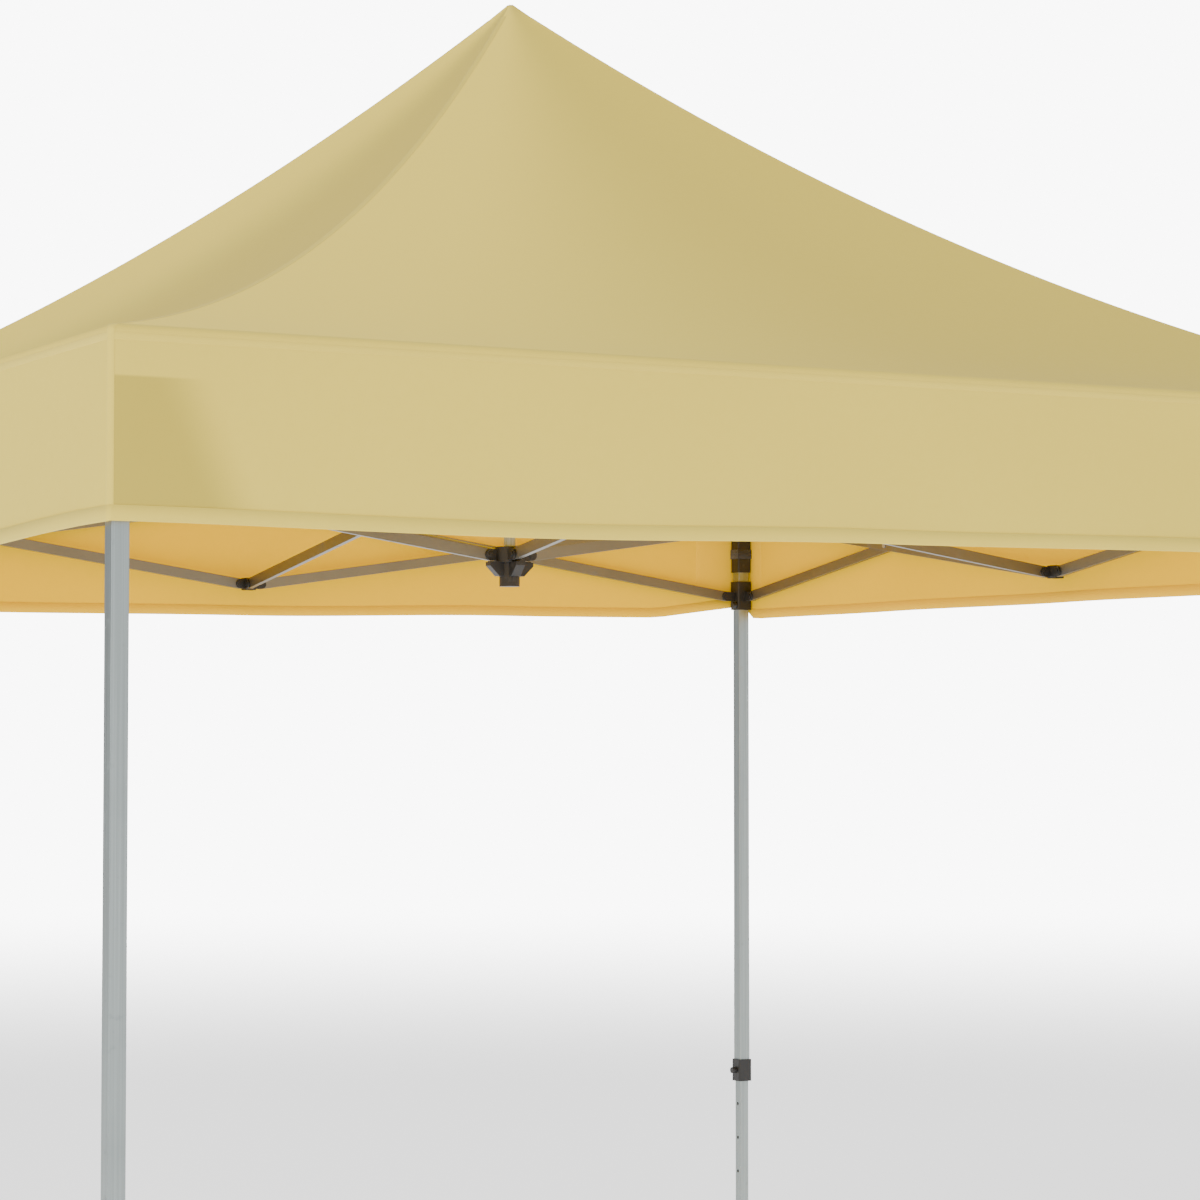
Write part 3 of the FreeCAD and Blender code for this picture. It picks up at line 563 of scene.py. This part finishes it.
def columns(station):
    """Distances along one side of a ring, from corner to corner."""
    fillet = corner_round(station)
    straight = station.out - fillet
    bend = [fillet * math.pi / 4 * step / CORNER_STEPS for step in range(1, CORNER_STEPS + 1)]
    middle = [straight * (2 * column / COLUMNS - 1) for column in range(COLUMNS + 1)]
    return [-straight - extra for extra in reversed(bend)] + middle + [straight + extra for extra in bend]


# ---------------------------------------------------------------- pieces

def new_piece(name, vertices, faces, materials, uvs=None, slots=None):
    """A mesh object with its materials, and a UV map in metres with one pair for each corner."""
    mesh = bpy.data.meshes.new(name)
    mesh.from_pydata(vertices, [], faces)
    for material in materials:
        mesh.materials.append(material)
    if slots:
        mesh.polygons.foreach_set("material_index", slots)
    if uvs:
        layer = mesh.uv_layers.new(name="metres")
        layer.data.foreach_set("uv", [number for pair in uvs for number in pair])
    mesh.polygons.foreach_set("use_smooth", [True] * len(mesh.polygons))
    mesh.validate()
    mesh.update()
    piece = bpy.data.objects.new(name, mesh)
    bpy.context.scene.collection.objects.link(piece)
    return piece


# The sides whose connectors lead the cover when the frame folds, the depth of the pleats it gathers
# in as a share of the distance from the middle, and how close the pleats are.
FOLD_LEADS = ("right", "left", "back", "front")
PLEAT_DEPTH = 0.020
PLEATS = 9


def pleat_wave(own, other):
    """The pleats' wave from 0 to 1 at a place beside a side's middle.

    It runs straight between the cover's columns, so that all that is sewn on stays on the cloth.
    """
    pitch = 2 * max(abs(own) - CORNER_ROUND, 0.4 * abs(own), 1e-6) / COLUMNS
    cell = math.floor(other / pitch)
    near, far = (math.sin(PLEATS * math.pi * edge * pitch / HALF) for edge in (cell, cell + 1))
    return 0.5 + 0.5 * (near + (far - near) * (other / pitch - cell))


def fold_weights(spot):
    """How much a point of the cover goes with each side connector and with the peak cap."""
    pleat = {}
    for axis, (ahead, behind) in enumerate((("right", "left"), ("back", "front"))):
        own, other = spot[axis], spot[1 - axis]
        flat = max(1 - (other / max(abs(own), 1e-6)) ** 2, 0.0)
        share = abs(own) / HALF * (1 - PLEAT_DEPTH * pleat_wave(own, other) * flat)
        pleat[ahead if own > 0 else behind] = min(share, 1.0)
    pleat["top"] = min(max((spot.z - EAVE) / (PEAK - EAVE), 0.0), 1.0)
    return pleat


def follow_fold(piece):
    """Let a sewn piece follow the frame: its points go with the side connectors and the peak cap."""
    leads = {side: f"connector_upper_{side}" for side in FOLD_LEADS}
    leads["top"] = "peak_pole_top"
    groups = {lead: piece.vertex_groups.new(name=lead) for lead in leads}
    for vertex in piece.data.vertices:
        for lead, share in fold_weights(vertex.co).items():
            groups[lead].add([vertex.index], share, "REPLACE")
    for lead, body in leads.items():
        hook = piece.modifiers.new(lead, "HOOK")
        hook.object = frame["bodies"][body]
        hook.vertex_group = lead
        hook.matrix_inverse = Matrix.Identity(4)
        hook.center = (0.0, 0.0, 0.0)
        hook.falloff_type = "NONE"
    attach(piece, "hub_upper")
    return piece


def strip(name, rows, materials, closed=False, tube=False, slots=None):
    """A band through rows of points, each row a list of (point, across), with a UV map in metres.

    A closed band joins its last row to its first, and a tube also joins the ends of each row.
    """
    vertices = [point for row in rows for point, _ in row]
    width = len(rows[0])
    run = [0.0]
    for before, after in zip(rows, rows[1:] + rows[:1]):
        run.append(run[-1] + (after[0][0] - before[0][0]).length)
    faces, uvs, chosen = [], [], []
    steps = len(rows) if closed else len(rows) - 1
    for index in range(steps):
        following = (index + 1) % len(rows)
        for place in range(width if tube else width - 1):
            beside = (place + 1) % width
            faces.append((index * width + place, index * width + beside,
                          following * width + beside, following * width + place))
            near, far = rows[index][place][1], rows[index][beside][1]
            uvs += [(run[index], near), (run[index], far), (run[index + 1], far), (run[index + 1], near)]
            chosen.append(slots[place] if slots else 0)
    return new_piece(name, vertices, faces, materials, uvs, chosen)


# How far each sewn layer stands off the cloth below it, and a layer's edge that is sewn down.
HEM_LAYER = 0.0009
EAVE_LAYER = 0.0004
HIP_LAYER = 0.0005
PATCH_LAYER = 0.0012
PEAK_LAYER = 0.0008
TAB_LAYER = 0.0013
SEWN_DOWN = 0.0001
# A seam's edge that dips just under the cloth's outer face.
EAVE_TUCKED = -0.0004
HIP_TUCKED = -0.0003
# The peak patch's half width, and a corner patch's width on the side where it is narrow.
PEAK_PATCH = 0.14
PATCH_OTHER_SIDE = 0.09
# The part of the valance's height that a corner patch and a side tab cover.
PATCH_DROP = (0.2, 0.9)
TAB_DROP = (0.03, 0.3)
# Half a bracket's width, and the height, gap, depth, rounding and fineness of the webbing loop round it.
BRACKET_HALF = 0.020
TIE_HEIGHT = 2.112
TIE_GAP = 0.0001
TIE_DEPTH = 0.0014
TIE_ROUND = 0.0008
TIE_STEPS = 4


def make_cover(settings):
    """The roof and the valances as one sheet with an outer and an inner face."""
    stations = profile()
    vertices, faces, uvs, slots = [], [], [], []
    per_side = COLUMNS + 2 * CORNER_STEPS
    per_ring = 4 * per_side
    faces_out, faces_in = [], []
    for lift in (0.0, -settings.thickness):
        for station in stations:
            places = columns(station)[:-1]
            vertices += [cloth_point(settings, side, along, station, lift)
                         for side in range(4) for along in places]
    layer = per_ring * len(stations)
    lines = [columns(station) for station in stations]
    for ring in range(len(stations) - 1):
        for side in range(4):
            for column in range(per_side):
                here = side * per_side + column
                beside = (here + 1) % per_ring
                low, high = ring * per_ring, (ring + 1) * per_ring
                quad = (low + here, high + here, high + beside, low + beside)
                pairs = [(lines[ring][column], stations[ring].run),
                         (lines[ring + 1][column], stations[ring + 1].run),
                         (lines[ring + 1][column + 1], stations[ring + 1].run),
                         (lines[ring][column + 1], stations[ring].run)]
                faces_out.append((quad, pairs))
                faces_in.append((tuple(layer + index for index in reversed(quad)), pairs[::-1]))
    for group, slot in ((faces_out, 0), (faces_in, 1)):
        for quad, pairs in group:
            faces.append(quad)
            uvs += pairs
            slots.append(slot)
    tip = tuple(range(per_ring))
    faces += [tip, tuple(layer + index for index in reversed(tip))]
    uvs += [(0.0, 0.0)] * (2 * per_ring)
    slots += [0, 1]
    last = (len(stations) - 1) * per_ring
    for here in range(per_ring):
        beside = (here + 1) % per_ring
        faces.append((last + here, layer + last + here, layer + last + beside, last + beside))
        uvs += [(0.0, 0.0)] * 4
        slots.append(0)
    cover = new_piece("canopy_cover", vertices, faces,
                      [cloth_outside(settings), cloth_inside(settings)], uvs, slots)
    panel = cover.data.uv_layers.new(name="panel")
    for number, (along, run) in enumerate(uvs):
        station = nearest_station(stations, run)
        panel.data[number].uv = (along / max(ring_reach(station), 1e-6), station.roof)
    return follow_fold(cover)


def around(settings, station, lift, shift=0.0):
    """Points all the way round the cover at one station."""
    row = []
    for side in range(4):
        for along in columns(station)[:-1]:
            point = cloth_point(settings, side, along, station, lift)
            point.z += shift
            row.append(point)
    return row


def round_rows(rings, across):
    """Rows of a band that runs all the way round, from its rings and their places across it."""
    return [[(ring[index], place) for ring, place in zip(rings, across)] for index in range(len(rings[0]))]


def make_hem(settings):
    """The turned hem: a second layer on both faces that goes round the cloth's lower edge."""
    rise = settings.hem_width
    inside = -settings.thickness - HEM_LAYER
    outline = ((HEM_LAYER, rise), (HEM_LAYER, 0.001), (0.0, -0.0008), (-settings.thickness, -0.0008),
               (inside, 0.001), (inside, rise))
    rings = [around(settings, profile()[-1], lift, shift) for lift, shift in outline]
    rows = round_rows(rings, [shift - rise / 2 for _, shift in outline])
    seams = (-rise * 0.36, rise * 0.36)
    outer = stitched("hem_outside", settings.outside, seams)
    inner = stitched("hem_inside", settings.inside, seams, settings.glow)
    hem = strip("hem_band", rows, [outer, inner], closed=True, tube=True, slots=(0, 0, 0, 1, 1, 0))
    follow_fold(hem)


def make_eave_seam(settings):
    """The felled seam round the cover, just under the eave."""
    top = next(station for station in profile() if station.out >= HALF - 1e-6)
    half = settings.seam_width * 0.4
    outline = ((EAVE_TUCKED, 0.0), (EAVE_LAYER, -0.0008), (EAVE_LAYER, -2 * half),
               (EAVE_TUCKED, -2 * half - 0.0008))
    rings = [around(settings, top, lift, shift) for lift, shift in outline]
    rows = round_rows(rings, [shift + half for _, shift in outline])
    material = stitched("seam_outside", settings.outside, (-half * 0.6, half * 0.6))
    follow_fold(strip("eave_seam", rows, [material], closed=True))


def make_hip_seams(settings):
    """A felled seam over each hip, from the peak down the corner to the hem."""
    half = settings.seam_width / 2
    material = stitched("hip_seam_cloth", settings.outside, (-half * 0.6, half * 0.6))
    for corner, name in enumerate(CORNERS):
        rows = []
        for station in profile():
            if station.out < half * 1.6:
                continue
            reach = ring_reach(station)
            fillet = corner_round(station) * math.pi / 4
            spread = [half, half * 0.9]
            spread += [fillet * (1 - step / CORNER_STEPS) for step in range(CORNER_STEPS + 1)]
            lifts = [HIP_TUCKED] + [HIP_LAYER] * (len(spread) - 1)
            row = [(cloth_point(settings, corner, reach - back, station, lift), -back)
                   for back, lift in zip(spread, lifts)]
            row += [(cloth_point(settings, (corner + 1) % 4, back - reach, station, lift), back)
                    for back, lift in zip(spread[-2::-1], lifts[-2::-1])]
            rows.append(row[::-1])
        follow_fold(strip(f"hip_seam_{name}", rows, [material]))


def make_corner_patches(settings):
    """A second layer inside each valance corner, where the cover is tied to the leg."""
    material = stitched("patch_cloth", settings.inside, (-0.004,), settings.glow * 0.9)
    stations = [station for station in profile() if PATCH_DROP[0] < station.drop < PATCH_DROP[1]]
    for corner, name in enumerate(CORNERS):
        rows = []
        for index, station in enumerate(stations):
            rim = index in (0, len(stations) - 1)
            reach = ring_reach(station)
            row = []
            for side, hand, width in ((corner, 1, PATCH_OTHER_SIDE),
                                      ((corner + 1) % 4, -1, settings.patch_width)):
                steps = [reach + along for along in columns(station) if reach + along < width - 0.004]
                steps += [width - 0.003, width]
                points = []
                for back in steps:
                    lift = -settings.thickness - (SEWN_DOWN if rim or back == width else PATCH_LAYER)
                    spot = cloth_point(settings, side, hand * (reach - back), station, lift)
                    points.append((spot, hand * back))
                row += points[::-1] if hand > 0 else points[1:]
            rows.append(row)
        follow_fold(strip(f"corner_patch_{name}", rows, [material]))


def make_peak_patch(settings):
    """A second layer inside the peak, where the cover rests on the domed cap."""
    stations = [station for station in profile() if station.out < PEAK_PATCH]
    lifts = [-settings.thickness - PEAK_LAYER] * (len(stations) - 1) + [-settings.thickness - SEWN_DOWN]
    rings = [around(settings, station, lift) for station, lift in zip(stations, lifts)]
    rows = round_rows(rings, [station.run for station in stations])
    seams = (PEAK_PATCH, PEAK_PATCH + 0.006)
    material = stitched("peak_patch_cloth", settings.inside, seams, settings.glow * 0.9)
    follow_fold(strip("peak_patch", rows, [material], closed=True))


def make_side_tabs(settings):
    """A webbing tab sewn inside each valance, where it holds to the upper side connector."""
    material = webbing(settings, "tab_webbing")
    stations = [station for station in profile() if TAB_DROP[0] < station.drop < TAB_DROP[1]]
    half = settings.webbing / 2
    for side, name in enumerate(SIDES):
        rows = []
        for index, station in enumerate(stations):
            rim = index in (0, len(stations) - 1)
            row = []
            for across in (-half, -half + 0.0005, 0.0, half - 0.0005, half):
                lift = -settings.thickness - (SEWN_DOWN if rim or abs(across) == half else TAB_LAYER)
                row.append((cloth_point(settings, side, across, station, lift), across))
            rows.append(row)
        follow_fold(strip(f"side_tab_{name}", rows, [material]))


def make_corner_ties(settings):
    """A webbing loop round the bracket on each leg, which holds the corner of the cover."""
    material = webbing(settings, "tie_webbing")
    for name in CORNERS:
        low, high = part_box(f"leg_outer_{name}")
        across = max(abs(low.x), abs(high.x)) - BRACKET_HALF
        centre = Vector((math.copysign(across, low.x), math.copysign(across, low.y), TIE_HEIGHT))
        knee = BRACKET_HALF + TIE_GAP - TIE_ROUND
        section = ((TIE_ROUND, 0.0), (TIE_ROUND, settings.webbing),
                   (TIE_ROUND + TIE_DEPTH, settings.webbing), (TIE_ROUND + TIE_DEPTH, 0.0))
        rows = []
        for quarter, (right, back) in enumerate(((1, 1), (-1, 1), (-1, -1), (1, -1))):
            for step in range(TIE_STEPS + 1):
                turn = math.pi / 2 * (quarter + step / TIE_STEPS)
                out = Vector((math.cos(turn), math.sin(turn), 0.0))
                bend = centre + Vector((right * knee, back * knee, 0.0))
                rows.append([(bend + out * reach + Vector((0.0, 0.0, rise)), rise)
                             for reach, rise in section])
        tie = strip(f"corner_tie_{name}", rows, [material], closed=True, tube=True)
        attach(tie, f"leg_outer_{name}")


class CANOPY_OT_cover(bpy.types.Operator):
    """Shape the roof and valances as one sheet"""

    bl_idname = "canopy.cover"
    bl_label = "Cut the cover"

    def execute(self, context):
        cover = make_cover(context.scene.canopy_cover)
        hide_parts(*(f"canopy_{side}" for side in SIDES))
        return {"FINISHED"}


class CANOPY_OT_seams(bpy.types.Operator):
    """Turn the hem and sew the seams at the eave and the hips"""

    bl_idname = "canopy.seams"
    bl_label = "Sew the hem and seams"

    def execute(self, context):
        settings = context.scene.canopy_cover
        make_hem(settings)
        make_eave_seam(settings)
        make_hip_seams(settings)
        return {"FINISHED"}


class CANOPY_OT_patches(bpy.types.Operator):
    """Sew the patches and tabs inside the cover"""

    bl_idname = "canopy.patches"
    bl_label = "Sew the patches and tabs"

    def execute(self, context):
        settings = context.scene.canopy_cover
        make_corner_patches(settings)
        make_peak_patch(settings)
        make_side_tabs(settings)
        stations = profile()
        panel = sum((after.out + before.out) * (after.run - before.run)
                    for before, after in zip(stations, stations[1:]))
        4 * panel
        return {"FINISHED"}


class CANOPY_OT_ties(bpy.types.Operator):
    """Put a webbing loop round each leg's bracket"""

    bl_idname = "canopy.ties"
    bl_label = "Tie the corners"

    def execute(self, context):
        make_corner_ties(context.scene.canopy_cover)
        return {"FINISHED"}


# ---------------------------------------------------------------- finishes of the frame

def solids_of(mesh):
    """The separate solids of a node, as lists of polygon indices, found through shared corners."""
    owner = {}

    def root(item):
        while owner.setdefault(item, item) != item:
            owner[item] = owner[owner[item]]
            item = owner[item]
        return item

    corner = [tuple(round(number, 5) for number in vertex.co) for vertex in mesh.vertices]
    for polygon in mesh.polygons:
        first = root(corner[polygon.vertices[0]])
        for index in polygon.vertices[1:]:
            owner[root(corner[index])] = first
            first = root(first)
    found = {}
    for polygon in mesh.polygons:
        found.setdefault(root(corner[polygon.vertices[0]]), []).append(polygon.index)
    return list(found.values())


# A solid longer than a tube's least length is a tube, one that ends below a foot's height is a foot,
# and one shorter than a pin's greatest length is a pin or a rivet.
TUBE_LENGTH = 0.45
FOOT_HEIGHT = 0.06
PIN_LENGTH = 0.036


def kind_of(mesh, polygons):
    """What a solid is made of, from its size and place."""
    points = [mesh.vertices[index].co for number in polygons for index in mesh.polygons[number].vertices]
    low = Vector(map(min, zip(*points)))
    high = Vector(map(max, zip(*points)))
    longest = max(high - low)
    if longest > TUBE_LENGTH:
        return "tube"
    if high.z < FOOT_HEIGHT:
        return "foot"
    if longest < PIN_LENGTH:
        return "pin"
    return "moulding"


def run_axis(name):
    """The axis that a node's tube runs along."""
    if not name.startswith(("bar_", "inner_bar_")):
        return "z"
    across = name.startswith("bar_")
    side = name.split("_")[1 if across else 2]
    return "x" if (side in ("right", "left")) != across else "y"


class CANOPY_OT_frame(bpy.types.Operator):
    """Give the tubes, mouldings, pins and feet their finishes"""

    bl_idname = "canopy.frame"
    bl_label = "Finish the frame"

    def execute(self, context):
        settings = context.scene.canopy_frame
        tubes = {axis: aluminium(settings.bars, f"bar_aluminium_{axis}", axis, 0.12) for axis in "xy"}
        tubes["z"] = aluminium(settings.aluminium, "leg_aluminium", "z")
        kinds = {"moulding": plastic(settings), "foot": steel(settings, "zinc_foot", 0.7)}
        rivet = steel(settings, "zinc_rivet", 0.0)
        cap = plastic(settings, "pin_cap", 0.8)
        latch = plastic(settings, "latch_plastic", 1.5)
        for name, node in frame["nodes"].items():
            if name.startswith("canopy_"):
                continue
            mesh = node.data
            palette = {**kinds, "tube": tubes[run_axis(name)], "pin": rivet if "bar" in name else cap}
            order = sorted(palette)
            mesh.materials.clear()
            for kind in order:
                mesh.materials.append(latch if "latch" in name else palette[kind])
            for polygons in solids_of(mesh):
                number = order.index(kind_of(mesh, polygons))
                for polygon in polygons:
                    mesh.polygons[polygon].material_index = number
        return {"FINISHED"}


# ---------------------------------------------------------------- stage

# The side on which the sky is brighter, and the large soft lamp.
LIT_SIDE = Vector((0.35, -0.93, 0.1))
LAMP_PLACE = Vector((-10.0, -5.0, 7.5))
LAMP_AIM = Vector((0.0, 0.0, 1.8))
LAMP_SIZE = 5.0
# The floor's rim, and where it fades away.
FLOOR_SIDES = 96
FLOOR_FADE = (9.0, 30.0)


class CANOPY_OT_stage(bpy.types.Operator):
    """Lay the floor and set the light and the camera"""

    bl_idname = "canopy.stage"
    bl_label = "Set the stage"

    def execute(self, context):
        settings = context.scene.canopy_stage
        self.lay_floor(settings)
        self.set_sky(context.scene, settings)
        self.hang_light(settings)
        camera = bpy.data.objects.new("camera", bpy.data.cameras.new("camera"))
        context.scene.collection.objects.link(camera)
        level = math.cos(settings.camera_tilt)
        sight = Vector((math.sin(settings.camera_turn) * level, math.cos(settings.camera_turn) * level,
                        math.sin(settings.camera_tilt)))
        camera.location = settings.camera_place
        camera.rotation_euler = sight.to_track_quat("-Z", "Y").to_euler()
        camera.data.lens = settings.lens
        camera.data.sensor_width = 36.0
        camera.data.clip_end = 500.0
        context.scene.camera = camera
        return {"FINISHED"}

    def lay_floor(self, settings):
        """A pale disc that fades into the backdrop far away."""
        rim = [Vector((math.cos(turn), math.sin(turn), 0.0)) * settings.floor_radius
               for turn in (math.tau * step / FLOOR_SIDES for step in range(FLOOR_SIDES))]
        floor = new_piece("floor", rim, [tuple(range(FLOOR_SIDES))], [self.floor_finish(settings)])

    def floor_finish(self, settings):
        """A matt pale surface that turns clear towards its rim."""
        finish = Finish("floor", roughness=0.9, specular_ior_level=0.1,
                        emission_strength=settings.floor_light)
        place = finish.node("ShaderNodeTexCoord", output=3)
        grain = finish.cloud(place, 30.0)
        finish.feed("Base Color", finish.mix(grain, shade(settings.floor, 0.98), shade(settings.floor)))
        far = finish.node("ShaderNodeVectorMath", {"operation": "LENGTH"}, {0: place}, 1)
        clear = finish.node("ShaderNodeBsdfTransparent")
        surface = Signal(finish, finish.shader.outputs[0])
        blend = finish.node("ShaderNodeMixShader", None,
                            {0: finish.fade(far, *FLOOR_FADE), 1: surface, 2: clear})
        output = finish.tree.nodes["Material Output"]
        finish.tree.links.new(blend.socket, output.inputs["Surface"])
        return finish.material

    def set_sky(self, scene, settings):
        """An even pale sky, brighter to the camera than it lights."""
        sky = bpy.data.worlds.new("sky")
        sky.use_nodes = True
        scene.world = sky
        tree = sky.node_tree
        shown = tree.nodes.new("ShaderNodeLightPath").outputs["Is Camera Ray"]
        heading = tree.nodes.new("ShaderNodeTexCoord").outputs["Generated"]
        slope = tree.nodes.new("ShaderNodeVectorMath")
        slope.operation = "DOT_PRODUCT"
        slope.inputs[1].default_value = LIT_SIDE * settings.sky * settings.sky_slope
        tree.links.new(heading, slope.inputs[0])
        lit = tree.nodes.new("ShaderNodeMath")
        lit.inputs[1].default_value = settings.sky
        tree.links.new(slope.outputs["Value"], lit.inputs[0])
        strength = tree.nodes.new("ShaderNodeMapRange")
        strength.inputs["To Max"].default_value = settings.backdrop
        tree.links.new(lit.outputs[0], strength.inputs["To Min"])
        tree.links.new(shown, strength.inputs["Value"])
        background = tree.nodes["Background"]
        background.inputs["Color"].default_value = (1.0, 1.0, 1.0, 1.0)
        tree.links.new(strength.outputs[0], background.inputs["Strength"])

    def hang_light(self, settings):
        """One large soft light, high in front and to the left."""
        lamp = bpy.data.lights.new("key_light", "AREA")
        lamp.shape = "DISK"
        lamp.size = LAMP_SIZE
        lamp.energy = settings.key
        light = bpy.data.objects.new("key_light", lamp)
        light.location = LAMP_PLACE
        light.rotation_euler = (LAMP_AIM - LAMP_PLACE).to_track_quat("-Z", "Y").to_euler()
        bpy.context.scene.collection.objects.link(light)


class CANOPY_PT_panel(bpy.types.Panel):
    """Lists the canopy's operators and settings"""

    bl_idname = "CANOPY_PT_panel"
    bl_label = "Pop Up Canopy"
    bl_space_type = "VIEW_3D"
    bl_region_type = "UI"
    bl_category = "Canopy"

    def draw(self, context):
        sewing = ("canopy.cover", "canopy.seams", "canopy.patches", "canopy.ties")
        for operators, group in ((sewing, context.scene.canopy_cover),
                                 (("canopy.frame",), context.scene.canopy_frame),
                                 (("canopy.stage",), context.scene.canopy_stage)):
            box = self.layout.box()
            for operator in operators:
                box.operator(operator)
            for name in group.bl_rna.properties.keys():
                if name not in ("name", "rna_type"):
                    box.prop(group, name)


CLASSES = (CoverSettings, FrameSettings, StageSettings, CANOPY_OT_cover, CANOPY_OT_seams,
           CANOPY_OT_patches, CANOPY_OT_ties, CANOPY_OT_frame, CANOPY_OT_stage, CANOPY_PT_panel)


def register():
    for item in CLASSES:
        bpy.utils.register_class(item)
    bpy.types.Scene.canopy_cover = PointerProperty(type=CoverSettings)
    bpy.types.Scene.canopy_frame = PointerProperty(type=FrameSettings)
    bpy.types.Scene.canopy_stage = PointerProperty(type=StageSettings)


def unregister():
    del bpy.types.Scene.canopy_stage
    del bpy.types.Scene.canopy_frame
    del bpy.types.Scene.canopy_cover
    for item in reversed(CLASSES):
        bpy.utils.unregister_class(item)


def main():
    register()
    bpy.ops.canopy.stage()
    bpy.ops.canopy.cover()
    bpy.ops.canopy.seams()
    bpy.ops.canopy.patches()
    bpy.ops.canopy.ties()
    bpy.ops.canopy.frame()


if __name__ == "__main__":
    main()
